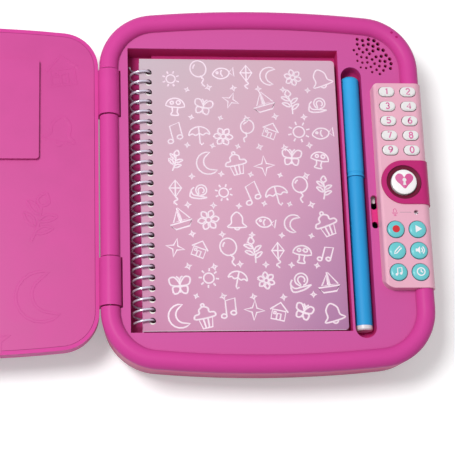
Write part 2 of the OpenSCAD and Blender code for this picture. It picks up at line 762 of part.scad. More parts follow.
module key_1() { number_key(col_x[0], key_y[0]); }
module key_2() { number_key(col_x[1], key_y[0]); }
module key_3() { number_key(col_x[0], key_y[1]); }
module key_4() { number_key(col_x[1], key_y[1]); }
module key_5() { number_key(col_x[0], key_y[2]); }
module key_6() { number_key(col_x[1], key_y[2]); }
module key_7() { number_key(col_x[0], key_y[3]); }
module key_8() { number_key(col_x[1], key_y[3]); }
module key_9() { number_key(col_x[0], key_y[4]); }
module key_0() { number_key(col_x[1], key_y[4]); }

// A round button with a low dome, held under the strip by two ears
module round_button(x, y, d, top, ear, base, c) {
  color(c) placed() translate([x, y, 0]) {
    rotate_extrude($fn = 96)
      polygon(concat([[0, base], [d / 2, base], [d / 2, top - 0.9]],
        [for (i = [1:6]) let (t = i / 6) [d / 2 * (1 - t ^ 2), top - 0.9 + 0.9 * (1 - (1 - t) ^ 2)]]));
    translate([-2.2, -d / 2 - ear, base]) cube([4.4, d + 2 * ear, flange_t]);
  }
}

module small_button(x, y) {
  round_button(x, y, button_d, panel_z + key_rise + 0.1, 0.7, flange_z, teal_col);
}

module record_button() { small_button(col_x[0], button_y[0]); }
module play_button() { small_button(col_x[1], button_y[0]); }
module memo_button() { small_button(col_x[0], button_y[1]); }
module sound_button() { small_button(col_x[1], button_y[1]); }
module music_button() { small_button(col_x[0], button_y[2]); }
module clock_button() { small_button(col_x[1], button_y[2]); }
module lock_button() {
  round_button(lock_x, lock_y, lock_d, lock_top, 0.9, flange_z - lock_sink, white_col);
}

// Lid, drawn closed over the hinge axis and then turned over to lie open

module opened() { placed() translate([0, 0, deck_z]) rotate([0, 180, 0]) children(); }

// The lid's outside, with its rounded edge
module lid_form() {
  r = lid_edge_r;
  ring_stack(plan_rings(concat([[lid_r, lid_rest]], arc(lid_r - r, lid_t - r, r, 0, 90, 6))));
}

module lid_cavity() {
  slab(lid_r - wall, lid_rest - 1, lid_t - lid_edge_r + 0.5);
  slab(lid_r - wall - 2.2, lid_rest - 1, lid_t - wall);
}

// The cut-out that lets the closed lid pass round the keypad strip
module notch(grow) {
  x = panel_x0 - 1.1 - grow;
  y = panel_l / 2 + 0.8 + grow;
  r = 4;
  translate([0, 0, -5]) linear_extrude(60) {
    translate([x + r, -y]) square([60, 2 * y]);
    translate([x, -y + r]) square([20, 2 * (y - r)]);
    for (s = [-1, 1]) translate([x + r, s * (y - r)]) circle(r = r, $fn = 64);
  }
}

module notch_wall() {
  intersection() {
    difference() {
      notch(wall);
      notch(0);
    }
    slab(lid_r - 1, lid_rest, lid_t - wall / 2);
  }
}

module lid_outer_shell() {
  color(rim_col) opened() difference() {
    union() {
      difference() {
        lid_form();
        lid_cavity();
        notch(0);
      }
      notch_wall();
      for (s = [-1, 1]) knuckle(s);
      for (p = lid_screw_places) tube_hole(p[0], p[1], lid_rest + 2.05, lid_t - 1, 3);
    }
    for (s = [-1, 1])
      along_y(0, s > 0 ? knuckle_in - 1 : -knuckle_out - 1, s > 0 ? knuckle_out + 1 : 1 - knuckle_in, 0,
        pin_r + pin_play);
    for (p = lid_screw_places) tube_hole(p[0], p[1], lid_rest, lid_rest + 8.5, 1);
  }
}

lid_screw_places = [for (p = [[base_x1 - 25.1, 22.5], [86, 19.5]], s = [1, -1])
  [p[0], s * (base_l / 2 - p[1])]];

module knuckle(s) {
  y0 = s > 0 ? knuckle_in : -knuckle_out;
  y1 = s > 0 ? knuckle_out : -knuckle_in;
  along_y(0, y0, y1, 0, knuckle_r);
  block(0, mid_x - cen_x - lid_r + 1, y0, y1, lid_rest, knuckle_r - 0.6);
}

module lid_inner_shell() {
  color(deck_col) opened() difference() {
    union() {
      slab(lid_r - wall - 0.15, lid_rest, lid_rest + 2);
      pad_block(0, lid_rest - pad_h, lid_rest + 1);
    }
    pad_block(1.5, lid_rest - pad_h + 1.4, lid_rest + 3);
    notch(wall + 0.15);
    for (p = lid_screw_places) {
      tube_hole(p[0], p[1], lid_rest - 1, lid_rest + 3, 1.3);
      tube_hole(p[0], p[1], lid_rest - 1, lid_rest + 1, 2.4);
    }
  }
}

// The raised pad on the lid's inner face, with round corners
module pad_block(inset, z0, z1) {
  x0 = 36 + inset;
  y0 = 14.3 + inset;
  w = pad_w - 2 * inset;
  l = pad_l - 2 * inset;
  r = 1.6 - inset / 2;
  translate([x0, y0, z0]) linear_extrude(z1 - z0) {
    translate([r, 0]) square([w - 2 * r, l]);
    translate([0, r]) square([w, l - 2 * r]);
    for (x = [r, w - r], y = [r, l - r]) translate([x, y]) circle(r = r, $fn = 48);
  }
}

module lid_latch_hook() {
  z0 = -8.6;
  color(white_col) opened() {
    block(slot_x - 0.9, slot_x + 0.9, hook_y - 1.2, hook_y + 1.2, z0, lid_rest - 0.02);
    difference() {
      block(slot_x - 0.9, slot_x + 0.9, hook_y, hook_y + 3.8, z0, z0 + 2.1);
      translate([slot_x - 2, hook_y + 3.8, z0 + 0.7]) rotate([-45, 0, 0]) translate([0, 0, -4]) cube([4, 4, 4]);
    }
    tube_hole(slot_x, post_y, -7.6, lid_rest - 0.02, 1.1);
    block(slot_x - 1.2, slot_x + 1.2, post_y - 1.6, hook_y + 1.6, lid_rest - 0.32, lid_rest - 0.02);
  }
}

module lid_screws() {
  color(steel_col) opened() for (p = lid_screw_places)
    translate([p[0], p[1], lid_rest - 0.7 + 0.72]) screw(0.98, 2.2, 0.95, 7.5);
}

// Notebook

module binding_holes(z0, z1, dx, dy, r) {
  for (i = [0:coil_turns - 1])
    tube_hole(hole_x + dx, coil_y0 + (i + 0.5) * coil_pitch + dy, z0, z1, r);
}

module notebook_pages() {
  color([0.95, 0.94, 0.92]) placed() difference() {
    block(book_x0 + 0.6, book_x0 + book_w - 0.6, book_y - book_l / 2 + 0.6, book_y + book_l / 2 - 0.6,
      book_z0 + back_t, book_z0 + back_t + pages_t);
    binding_holes(book_z0, cover_z, 0, 0, 2.1);
  }
}

module cover_plate(z0, z1) {
  r = 2;
  translate([book_x0, book_y - book_l / 2, z0]) linear_extrude(z1 - z0) {
    square([r + 1, book_l]);
    square([book_w - r, book_l]);
    translate([0, r]) square([book_w, book_l - 2 * r]);
    for (y = [r, book_l - r]) translate([book_w - r, y]) circle(r = r, $fn = 48);
  }
}

module notebook_back_cover() {
  color([0.75, 0.45, 0.65]) placed() difference() {
    cover_plate(book_z0, book_z0 + back_t);
    binding_holes(book_z0 - 1, cover_z, 0, 0, 2.1);
  }
}

module notebook_front_cover() {
  color([0.82, 0.63, 0.76]) placed() difference() {
    cover_plate(cover_z - cover_t, cover_z);
    binding_holes(book_z0, cover_z + 1, cover_hole_dx, cover_hole_dy, 1.8);
  }
}

// The spiral wire: one tube along a helix, whose ends stop at the notebook's open side
function coil_point(a) =
  [coil_x + coil_r * cos(a), coil_y0 + coil_pitch * a / 360 + coil_pitch / 2, coil_z - coil_r * sin(a)];
coil_steps = 8;
coil_sides = 6;
coil_path = [for (i = [-3:coil_steps * (coil_turns - 1) + 4]) coil_point(i * 360 / coil_steps)];
coil_rings = [for (i = [0:len(coil_path) - 1])
  let (p = coil_path[i],
    d = coil_path[min(i + 1, len(coil_path) - 1)] - coil_path[max(i - 1, 0)],
    t = d / norm(d),
    u = cross(t, [0, 1, 0]) / norm(cross(t, [0, 1, 0])),
    v = cross(t, u))
  [for (k = [0:coil_sides - 1]) let (b = k * 360 / coil_sides) p + wire_d / 2 * (cos(b) * u + sin(b) * v)]];
coil_far = [for (i = [0:len(coil_path) - 1 - coil_steps]) for (k = [coil_steps - 1:coil_steps])
  if (i + k < len(coil_path)) norm(coil_path[i + k] - coil_path[i])];
echo(coil_self_gap = min(coil_far) - wire_d);

module notebook_coil() { color(steel_col) placed() ring_stack(coil_rings); }

// Pen, drawn along +Y from its lower end and laid in the groove

module laid_pen() { placed() translate([groove_x, pen_y1, pen_z]) rotate([90, 0, 0]) children(); }

neck_r = barrel_r - 0.7;
plug_l = 2.4;

module pen_barrel() {
  y0 = cap_l;
  color(blue_col) laid_pen() rotate_extrude($fn = round_n)
    polygon([[1.3, y0 - 40], [2.6, y0 - 40], [neck_r, y0 - 34], [neck_r, y0 + 0.3], [barrel_r, y0 + 0.3],
      [barrel_r, pen_l - plug_l], [barrel_r - 1, pen_l - plug_l], [barrel_r - 1, pen_l - plug_l - 7],
      [1.3, pen_l - plug_l - 7]]);
}

module pen_end_plug() {
  color(white_col) laid_pen() rotate_extrude($fn = round_n)
    polygon([[0, pen_l - plug_l - 6], [barrel_r - 1.02, pen_l - plug_l - 6],
      [barrel_r - 1.02, pen_l - plug_l], [barrel_r - 0.1, pen_l - plug_l], [barrel_r - 0.1, pen_l - 0.6],
      [barrel_r - 0.7, pen_l], [0, pen_l]]);
}

module pen_tip() {
  y0 = cap_l - 40;
  color(steel_col) laid_pen() rotate_extrude($fn = 48)
    polygon([[0, y0 - 6], [0.4, y0 - 6], [0.7, y0 - 4.6], [1.25, y0 - 3], [2.4, y0 - 0.02],
      [1.28, y0 - 0.02], [1.28, y0 + 60], [0, y0 + 60]]);
}

module pen_cap() {
  bore = neck_r + 0.08;
  color(blue_col) laid_pen() rotate_extrude($fn = round_n)
    polygon(concat([[0, 0]], [for (i = [1:6]) let (a = 15 * i) [cap_r * sin(a), 2.6 * (1 - cos(a))]],
      [[cap_r, cap_l - 2.5], [cap_r - 0.25, cap_l - 2.2], [cap_r - 0.25, cap_l - 1.6],
       [cap_r, cap_l - 1.3], [cap_r, cap_l], [bore, cap_l], [bore, 9], [bore - 1, 8], [0, 8]]));
}

base_upper_shell();
base_lower_shell();
keypad_panel();
lock_surround();
light_ring();
key_membrane();
keypad_board();
main_board();
speaker();
microphone();
latch_solenoid();
latch_slider();
lid_switch();
battery_door();
battery_door_screw();
batteries();
battery_contacts();
base_screws();
rubber_feet();
hinge_pins();
key_1();
key_2();
key_3();
key_4();
key_5();
key_6();
key_7();
key_8();
key_9();
key_0();
record_button();
play_button();
memo_button();
sound_button();
music_button();
clock_button();
lock_button();
lid_outer_shell();
lid_inner_shell();
lid_latch_hook();
lid_screws();
notebook_pages();
notebook_back_cover();
notebook_front_cover();
notebook_coil();
pen_barrel();
pen_end_plug();
pen_tip();
pen_cap();
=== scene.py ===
# Looks of an electronic secret diary: a pink moulded case with its lid lying open, a spiral
# notebook, a pen, and a keypad strip with number keys, a lock button and round buttons.
import json
import math

import bmesh
import bpy
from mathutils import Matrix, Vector
from mathutils.bvhtree import BVHTree

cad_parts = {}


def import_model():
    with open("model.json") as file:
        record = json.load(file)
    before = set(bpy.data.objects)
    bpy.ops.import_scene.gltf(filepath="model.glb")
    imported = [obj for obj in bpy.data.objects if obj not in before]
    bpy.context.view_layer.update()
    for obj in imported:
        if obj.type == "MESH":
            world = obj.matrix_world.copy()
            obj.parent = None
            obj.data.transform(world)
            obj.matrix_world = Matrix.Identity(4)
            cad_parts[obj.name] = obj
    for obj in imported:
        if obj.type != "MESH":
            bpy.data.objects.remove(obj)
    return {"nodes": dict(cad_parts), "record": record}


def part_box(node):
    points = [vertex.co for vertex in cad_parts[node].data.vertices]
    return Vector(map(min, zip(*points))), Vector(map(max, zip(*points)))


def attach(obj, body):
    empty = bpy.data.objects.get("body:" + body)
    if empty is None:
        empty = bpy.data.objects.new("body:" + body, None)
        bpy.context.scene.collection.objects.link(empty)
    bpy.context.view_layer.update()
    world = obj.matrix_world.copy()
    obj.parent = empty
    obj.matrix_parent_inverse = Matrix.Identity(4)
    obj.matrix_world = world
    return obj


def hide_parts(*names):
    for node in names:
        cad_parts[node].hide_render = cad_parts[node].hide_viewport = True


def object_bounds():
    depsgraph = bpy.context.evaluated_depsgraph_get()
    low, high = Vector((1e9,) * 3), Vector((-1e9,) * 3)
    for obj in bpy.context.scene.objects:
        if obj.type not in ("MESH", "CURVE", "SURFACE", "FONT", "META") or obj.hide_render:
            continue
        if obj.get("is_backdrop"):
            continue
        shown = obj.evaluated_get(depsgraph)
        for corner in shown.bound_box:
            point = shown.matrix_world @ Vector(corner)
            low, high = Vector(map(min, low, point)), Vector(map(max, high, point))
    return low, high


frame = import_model()
low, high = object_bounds()
nodes = frame["nodes"]

MM = 0.001

# Places read from the frame, in metres
cover_low, cover_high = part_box("notebook_front_cover")
coil_low, coil_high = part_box("notebook_coil")
lid_low, lid_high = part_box("lid_inner_shell")
panel_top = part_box("keypad_panel")[1].z
cover_mid = (cover_low + cover_high) / 2
cover_top = cover_high.z
lid_mid = (lid_low + lid_high) / 2

# Heights in the CAD part: the deck, and the lid's inner face below the top of its raised pad
DECK_Z = 32 * MM
PAD_RISE = 2.2 * MM
lid_face_z = lid_high.z - PAD_RISE

# Camera, fitted to the notebook, the rim and the keypad strip: metres, degrees, and mm for the
# lens and sensor
CAM_PLACE = (-0.02206, -0.23741, 0.72845)
CAM_TURN = (17.263, -5.680, -1.840)
CAM_LENS = 113.3
CAM_SENSOR = 36
CAM_CLIP = (0.01, 20)

# Light: the dome's strength at the horizon and overhead, and one square lamp, in metres and watts
SKY_HORIZON, SKY_ZENITH = 0.12, 0.55
KEY_PLACE = (-0.36, 0.07, 1.03)
KEY_AIM = (0.02, 0, 0.02)
KEY_SIZE = (0.32, 0.32)
KEY_POWER = 9.3

# Floor: half its width, its drop below the feet, and its own light where it is seen directly
FLOOR_HALF = 3.0
FLOOR_DROP = 0.0002
FLOOR_LIFT = 0.30

# Colours, as linear values
PINK = (0.600, 0.056, 0.300)
DARK_PINK = (0.430, 0.012, 0.150)
# Darker copies of the case pink for the well's walls and the shell's sides are painted shade; the
# deck's paler copy is a painted sheen
WELL_SHADE_PINK = (0.450, 0.026, 0.160)
WALL_SHADE_PINK = (0.680, 0.036, 0.215)
DECK_SHEEN_PINK = (0.565, 0.090, 0.322)
LID_PINK = (0.530, 0.049, 0.263)
STRIP_PINK = (0.760, 0.395, 0.510)
MAGENTA = (0.490, 0.022, 0.165)
BURGUNDY = (0.130, 0.008, 0.030)
WHITE = (0.780, 0.765, 0.770)
LIT_LOCK_WHITE = (0.90, 0.88, 0.89)
# A lighter copy of the keys' white for the lock button: painted light
PLAIN_WHITE = (0.76, 0.74, 0.75)
PLUG_WHITE = (0.70, 0.64, 0.68)
FLOOR_WHITE = (0.82, 0.82, 0.82)
TURQUOISE = (0.130, 0.540, 0.580)
PEN_BLUE = (0.018, 0.300, 0.640)
CAP_BLUE = (0.028, 0.345, 0.700)
SIGN_PINK = (0.640, 0.090, 0.290)
SOFT_PINK = (0.68, 0.15, 0.36)
SIGN_RED = (0.62, 0.020, 0.030)
SIGN_GREY = (0.30, 0.25, 0.29)
INK_WHITE = (0.850, 0.800, 0.840)
LINE_PALE = (0.82, 0.70, 0.78)
GLOW_PINK = (0.66, 0.43, 0.56)
EDGE_PALE = (0.72, 0.68, 0.78)
SILICONE = (0.68, 0.65, 0.67)
SPEAKER_BLACK = (0.010, 0.009, 0.012)
FOOT_BLACK = (0.012, 0.012, 0.014)
BOARD_GREEN = (0.012, 0.12, 0.05)
STEEL = (0.62, 0.62, 0.65)
ZINC = (0.45, 0.46, 0.50)
SLEEVE_BLUE = (0.04, 0.06, 0.10)
PAPER = (0.82, 0.80, 0.76)
CARD_MAUVE = (0.54, 0.19, 0.40)
COVER_PINK = (0.6, 0.35, 0.5)
WIRE_LILAC = (0.66, 0.62, 0.74)

# The upper shell's colour by height, in mm above the deck: the well's walls and the shell's sides
# darker downwards as painted shade, the deck paler as a painted sheen, and the rim in its own pink
SHELL_SHADE_AND_SHEEN_COLOURS = [(-12, WELL_SHADE_PINK), (-1, WALL_SHADE_PINK), (-0.2, DECK_SHEEN_PINK), (0.3, DECK_SHEEN_PINK),
                 (1.6, PINK), (6, PINK)]

# The cover's colours from the coil side to the free side, in three rows across it: at the end
# away from the speaker, halfway, and at the speaker end
COVER_COLOURS = [
    [(0.477, 0.159, 0.313), (0.521, 0.238, 0.388), (0.463, 0.215, 0.373), (0.348, 0.147, 0.314)],
    [(0.554, 0.298, 0.412), (0.601, 0.325, 0.445), (0.589, 0.293, 0.436), (0.504, 0.233, 0.397)],
    [(0.513, 0.420, 0.472), (0.550, 0.398, 0.468), (0.593, 0.376, 0.464), (0.594, 0.372, 0.488)],
]
PALE_EDGE = 0.4 * MM  # width of the pale line along the cover's near edge

# Surfaces: how fine the slow changes in gloss and colour are, how far the gloss changes, the depth
# of the fine grain in metres, and the roughness of a clear coat
PATCH_SCALE = 60.0
GLOSS_SWING = 0.15
GRAIN_DEPTH = 0.0001
COAT_ROUGH = 0.12

# Raised lines
LINE_SINK = 0.05 * MM  # their feet lie this far below the face that they stand on
STROKE_STEP = 0.005 * MM  # each stroke of a motif stands this far above the last
CURVE_STEPS = 5  # pieces of a smooth line between two of its points


# Materials


def colour_ramp(tree, stops):
    """A new colour ramp: stops are (place from 0 to 1, colour)."""
    ramp = tree.nodes.new("ShaderNodeValToRGB")
    marks = ramp.color_ramp.elements
    while len(marks) < len(stops):
        marks.new(0.5)
    for mark, (place, colour) in zip(marks, stops):
        mark.position = place
        mark.color = (*colour, 1)
    return ramp


def colour_mix(tree, first, second, amount):
    """A new mix of two colours, each a socket or a plain colour; gives its output socket."""
    mix = tree.nodes.new("ShaderNodeMix")
    mix.data_type = "RGBA"
    ends = [s for s in mix.inputs if s.type == "RGBA"]
    for end, colour in zip(ends, (first, second)):
        if isinstance(colour, tuple):
            end.default_value = (*colour, 1)
        else:
            tree.links.new(colour, end)
    tree.links.new(amount, mix.inputs[0])
    return [s for s in mix.outputs if s.type == "RGBA"][0]


def material(name, colour, rough, metal=0.0, grain=0.0, grain_scale=900.0, coat=0.0, tint=0.0,
             specular=0.5):
    """A moulded, painted or metal surface: fine grain in the bump, slow changes in the gloss,
    and, where tint is above 0, slow changes in the colour."""
    m = bpy.data.materials.new(name)
    m.use_nodes = True
    tree = m.node_tree
    shader = tree.nodes["Principled BSDF"]
    shader.inputs["Base Color"].default_value = (*colour, 1)
    shader.inputs["Metallic"].default_value = metal
    shader.inputs["Specular IOR Level"].default_value = specular
    shader.inputs["Coat Weight"].default_value = coat
    shader.inputs["Coat Roughness"].default_value = COAT_ROUGH
    place = tree.nodes.new("ShaderNodeTexCoord")
    slow = tree.nodes.new("ShaderNodeTexNoise")
    slow.inputs["Scale"].default_value = PATCH_SCALE
    slow.inputs["Detail"].default_value = 3
    tree.links.new(place.outputs["Object"], slow.inputs["Vector"])
    gloss = tree.nodes.new("ShaderNodeMapRange")
    gloss.inputs["To Min"].default_value = rough * (1 - GLOSS_SWING)
    gloss.inputs["To Max"].default_value = min(1.0, rough * (1 + GLOSS_SWING))
    tree.links.new(slow.outputs["Fac"], gloss.inputs["Value"])
    tree.links.new(gloss.outputs["Result"], shader.inputs["Roughness"])
    if tint > 0:
        ramp = colour_ramp(tree, [(0.3, [c * (1 - tint) for c in colour]),
                                  (0.7, [min(1, c * (1 + tint)) for c in colour])])
        tree.links.new(slow.outputs["Fac"], ramp.inputs["Fac"])
        tree.links.new(ramp.outputs["Color"], shader.inputs["Base Color"])
    if grain > 0:
        fine = tree.nodes.new("ShaderNodeTexNoise")
        fine.inputs["Scale"].default_value = grain_scale
        fine.inputs["Detail"].default_value = 4
        tree.links.new(place.outputs["Object"], fine.inputs["Vector"])
        bump = tree.nodes.new("ShaderNodeBump")
        bump.inputs["Strength"].default_value = grain
        bump.inputs["Distance"].default_value = GRAIN_DEPTH
        tree.links.new(fine.outputs["Fac"], bump.inputs["Height"])
        tree.links.new(bump.outputs["Normal"], shader.inputs["Normal"])
    return m


def plastic(name, colour, rough, grain=0.08, coat=0.1, tint=0.03, specular=0.3):
    return material(name, colour, rough, grain=grain, coat=coat, tint=tint, specular=specular)


def by_height(m, stops):
    """Gives a material its colour by height: stops are (height in metres, colour)."""
    tree = m.node_tree
    place = tree.nodes.new("ShaderNodeTexCoord")
    parts = tree.nodes.new("ShaderNodeSeparateXYZ")
    level = tree.nodes.new("ShaderNodeMapRange")
    first, last = stops[0][0], stops[-1][0]
    level.inputs["From Min"].default_value = first
    level.inputs["From Max"].default_value = last
    ramp = colour_ramp(tree, [((z - first) / (last - first), colour) for z, colour in stops])
    tree.links.new(place.outputs["Object"], parts.inputs["Vector"])
    tree.links.new(parts.outputs["Z"], level.inputs["Value"])
    tree.links.new(level.outputs["Result"], ramp.inputs["Fac"])
    tree.links.new(ramp.outputs["Color"], tree.nodes["Principled BSDF"].inputs["Base Color"])
    return m


def metal(name, colour, rough):
    return material(name, colour, rough, metal=1.0, grain=0.05, grain_scale=1500, tint=0.04)


def rubber(name, colour):
    return material(name, colour, 0.75, grain=0.25, grain_scale=1200, tint=0.05, specular=0.3)


def print_material():
    """The cover's pearly card: its colours run along it and across it, to a pale near edge."""
    m = material("cover_print", COVER_PINK, 0.38, grain=0.05, grain_scale=700, coat=0.25)
    tree = m.node_tree
    shader = tree.nodes["Principled BSDF"]
    place = tree.nodes.new("ShaderNodeTexCoord")
    span = tree.nodes.new("ShaderNodeMapping")
    width, length = cover_high.x - cover_low.x, cover_high.y - cover_low.y
    span.inputs["Location"].default_value = (-cover_low.x / width, -cover_low.y / length, 0)
    span.inputs["Scale"].default_value = (1 / width, 1 / length, 1)
    tree.links.new(place.outputs["Object"], span.inputs["Vector"])
    parts = tree.nodes.new("ShaderNodeSeparateXYZ")
    tree.links.new(span.outputs["Vector"], parts.inputs["Vector"])
    blend = None
    for row, colours in enumerate(COVER_COLOURS):
        ramp = colour_ramp(tree, [(i / (len(colours) - 1), c) for i, c in enumerate(colours)])
        tree.links.new(parts.outputs["X"], ramp.inputs["Fac"])
        if blend is None:
            blend = ramp.outputs["Color"]
            continue
        along = tree.nodes.new("ShaderNodeMapRange")
        along.inputs["From Min"].default_value = (row - 1) / 2
        along.inputs["From Max"].default_value = row / 2
        tree.links.new(parts.outputs["Y"], along.inputs["Value"])
        blend = colour_mix(tree, blend, ramp.outputs["Color"], along.outputs["Result"])
    edge = tree.nodes.new("ShaderNodeMapRange")
    edge.inputs["From Max"].default_value = PALE_EDGE / length
    edge.inputs["To Min"].default_value = 0.8
    edge.inputs["To Max"].default_value = 0.0
    tree.links.new(parts.outputs["Y"], edge.inputs["Value"])
    tree.links.new(colour_mix(tree, blend, EDGE_PALE, edge.outputs["Result"]),
                   shader.inputs["Base Color"])
    return m


rim_pink = plastic("case_pink", PINK, 0.38, coat=0.0, specular=0.08)
# Painted shade and sheen by height: the well's walls and the sides darken downwards, and the deck
# is paler than the rim
shell_shaded_pink = by_height(plastic("shell_shaded_pink", PINK, 0.38, coat=0.0, specular=0.08),
                       [(DECK_Z + z * MM, colour) for z, colour in SHELL_SHADE_AND_SHEEN_COLOURS])
case_dark = plastic("case_dark_pink", DARK_PINK, 0.45, coat=0.0, specular=0.08)
lid_face = plastic("lid_face_pink", LID_PINK, 0.45, grain=0.14, coat=0.03)
strip_pink = plastic("strip_pale_pink", STRIP_PINK, 0.38)
magenta = plastic("surround_magenta", MAGENTA, 0.3, coat=0.03, specular=0.12)
burgundy = plastic("ring_burgundy", BURGUNDY, 0.35, coat=0.0, specular=0.12)
white_keys = plastic("key_white", WHITE, 0.35, coat=0.15, tint=0.01)
lit_lock_white = plastic("lit_lock_white", LIT_LOCK_WHITE, 0.35, coat=0.15, tint=0.01)
white_plain = plastic("white_plastic", PLAIN_WHITE, 0.5, tint=0.02)
turquoise = plastic("button_turquoise", TURQUOISE, 0.3, coat=0.3)
pen_blue = plastic("pen_blue", PEN_BLUE, 0.55, coat=0.0, specular=0.25)
cap_blue = plastic("pen_cap_blue", CAP_BLUE, 0.55, coat=0.0, specular=0.25)
plug_white = plastic("plug_white", PLUG_WHITE, 0.35)
silicone = rubber("membrane_rubber", SILICONE)
black = rubber("speaker_black", SPEAKER_BLACK)
foot_rubber = rubber("foot_rubber", FOOT_BLACK)
board = material("circuit_board", BOARD_GREEN, 0.45, grain=0.2, tint=0.2, coat=0.3)
bright = metal("bright_steel", STEEL, 0.18)
zinc = metal("zinc_steel", ZINC, 0.35)
sleeve = material("battery_sleeve", SLEEVE_BLUE, 0.35, metal=0.3, grain=0.05, tint=0.1)
paper = material("page_paper", PAPER, 0.85, grain=0.4, grain_scale=400, tint=0.02)
card = material("cover_card", CARD_MAUVE, 0.5, grain=0.1, tint=0.05, coat=0.1)
cover_print = print_material()
coil_wire = material("coil_wire", WIRE_LILAC, 0.22, metal=0.55, grain=0.04, tint=0.04, coat=0.4)
sign_pink = plastic("sign_pink", SIGN_PINK, 0.35)
sign_soft = plastic("sign_soft_pink", SOFT_PINK, 0.35)
sign_white = plastic("sign_white", INK_WHITE, 0.4)
sign_red = plastic("sign_red", SIGN_RED, 0.35)
key_grey = plastic("key_grey", SIGN_GREY, 0.5)
print_line = material("print_line", LINE_PALE, 0.35, grain=0.04, tint=0.05, coat=0.3)
print_glow = material("print_glow", GLOW_PINK, 0.4, grain=0.04, tint=0.04, coat=0.2)

slot_material = {
    "case_pink": rim_pink, "case_dark_pink": case_dark, "lid_face_pink": lid_face,
    "strip_pale_pink": strip_pink, "surround_magenta": magenta, "ring_burgundy": burgundy,
    "membrane_rubber": silicone, "circuit_board": board, "speaker_black": black,
    "bright_steel": bright, "zinc_steel": zinc, "white_plastic": white_plain,
    "key_white": white_keys, "button_turquoise": turquoise, "battery_sleeve": sleeve,
    "foot_rubber": foot_rubber, "page_paper": paper, "cover_card": card,
    "cover_print": cover_print, "coil_wire": coil_wire, "pen_blue": pen_blue,
    "pen_cap_blue": cap_blue, "plug_white": plug_white,
}
for row in frame["record"]["subparts"]:
    mesh = nodes[row["node"]].data
    mesh.materials.clear()
    mesh.materials.append(slot_material[row["material_slot"]])
nodes["base_upper_shell"].data.materials[0] = shell_shaded_pink
# The lock button takes the lighter copy of the keys' white, as painted light
nodes["lock_button"].data.materials[0] = lit_lock_white


# Helpers for the pieces


def add_piece(piece, body, mats):
    """Links a new mesh piece to the scene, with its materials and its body."""
    bpy.context.scene.collection.objects.link(piece)
    for m in mats:
        piece.data.materials.append(m)
    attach(piece, body)
    return piece


def mesh_from(name, bm, smooth=True):
    bmesh.ops.recalc_face_normals(bm, faces=bm.faces[:])
    mesh = bpy.data.meshes.new(name)
    bm.to_mesh(mesh)
    bm.free()
    for f in mesh.polygons:
        f.use_smooth = smooth
    return bpy.data.objects.new(name, mesh)


def catmull(points, closed=False):
    """A smooth line through flat points."""
    n = len(points)
    if n < 3:
        return [Vector(p) for p in points]
    out = []
    for i in range(n if closed else n - 1):
        if closed:
            p = [Vector(points[(i + k - 1) % n]) for k in range(4)]
        else:
            p = [Vector(points[min(max(i + k - 1, 0), n - 1)]) for k in range(4)]
        for s in range(CURVE_STEPS):
            t = s / CURVE_STEPS
            out.append(0.5 * (2 * p[1] + (p[2] - p[0]) * t
                              + (2 * p[0] - 5 * p[1] + 4 * p[2] - p[3]) * t * t
                              + (3 * p[1] - p[0] - 3 * p[2] + p[3]) * t ** 3))
    if not closed:
        out.append(Vector(points[-1]))
    return out


def ribbon(bm, line, width, z0, z1, closed=False):
    """A raised line with a flat top and slanted sides along flat points, from z0 up to z1."""
    n = len(line)
    if n < 2:
        return
    rings = []
    for i, p in enumerate(line):
        before = line[(i - 1) % n] if closed or i > 0 else p
        after = line[(i + 1) % n] if closed or i < n - 1 else p
        d = after - before
        if d.length < 1e-9:
            d = Vector((1, 0))
        d.normalize()
        side = Vector((-d.y, d.x))
        half, top = width / 2, width / 3.2  # half widths of the foot and of the flat top
        rings.append([bm.verts.new((p.x + side.x * s, p.y + side.y * s, z))
                      for s, z in ((-half, z0), (-top, z1), (top, z1), (half, z0))])
    for i in range(n if closed else n - 1):
        a, b = rings[i], rings[(i + 1) % n]
        for k in range(4):
            bm.faces.new((a[k], a[(k + 1) % 4], b[(k + 1) % 4], b[k]))
    if not closed:
        bm.faces.new(rings[0])
        bm.faces.new(rings[-1])


def plate(bm, outline, z0, z1, index=0):
    """A filled flat shape from z0 up to z1, in the piece's material of that index."""
    low_ring = [bm.verts.new((p.x, p.y, z0)) for p in outline]
    top_ring = [bm.verts.new((p.x, p.y, z1)) for p in outline]
    n = len(outline)
    for i in range(n):
        j = (i + 1) % n
        bm.faces.new((low_ring[i], low_ring[j], top_ring[j], top_ring[i])).material_index = index
    for ring in (low_ring, top_ring):
        fan = bm.faces.new(ring)
        fan.material_index = index
        bmesh.ops.triangulate(bm, faces=[fan])


def drape(bm, node, sink, rise):
    """Lays a flat-drawn piece over a CAD node's upper face: its upper points stand rise above
    the face below them, and its lower points lie sink under it."""
    surface = BVHTree.FromPolygons([v.co for v in nodes[node].data.vertices],
                                   [tuple(f.vertices) for f in nodes[node].data.polygons])
    middle = (min(v.co.z for v in bm.verts) + max(v.co.z for v in bm.verts)) / 2
    for v in bm.verts:
        hit = surface.ray_cast(Vector((v.co.x, v.co.y, 1)), Vector((0, 0, -1)))[0]
        if hit:
            v.co.z = hit.z + (rise if v.co.z > middle else -sink)


def circle(x, y, r, n):
    return [Vector((x + r * math.cos(2 * math.pi * i / n), y + r * math.sin(2 * math.pi * i / n)))
            for i in range(n)]


# Line motifs: each is a list of (closed, points, curved) strokes in a square from -1 to 1


def arc_points(cx, cy, r, a0, a1, n, squash=1.0):
    turns = [math.radians(a0 + (a1 - a0) * i / n) for i in range(n + 1)]
    return [(cx + r * math.cos(a), cy + r * squash * math.sin(a)) for a in turns]


def sparkle():
    return [(True, [(0, 1), (0.22, 0.22), (1, 0), (0.22, -0.22), (0, -1), (-0.22, -0.22), (-1, 0),
                    (-0.22, 0.22)], False)]


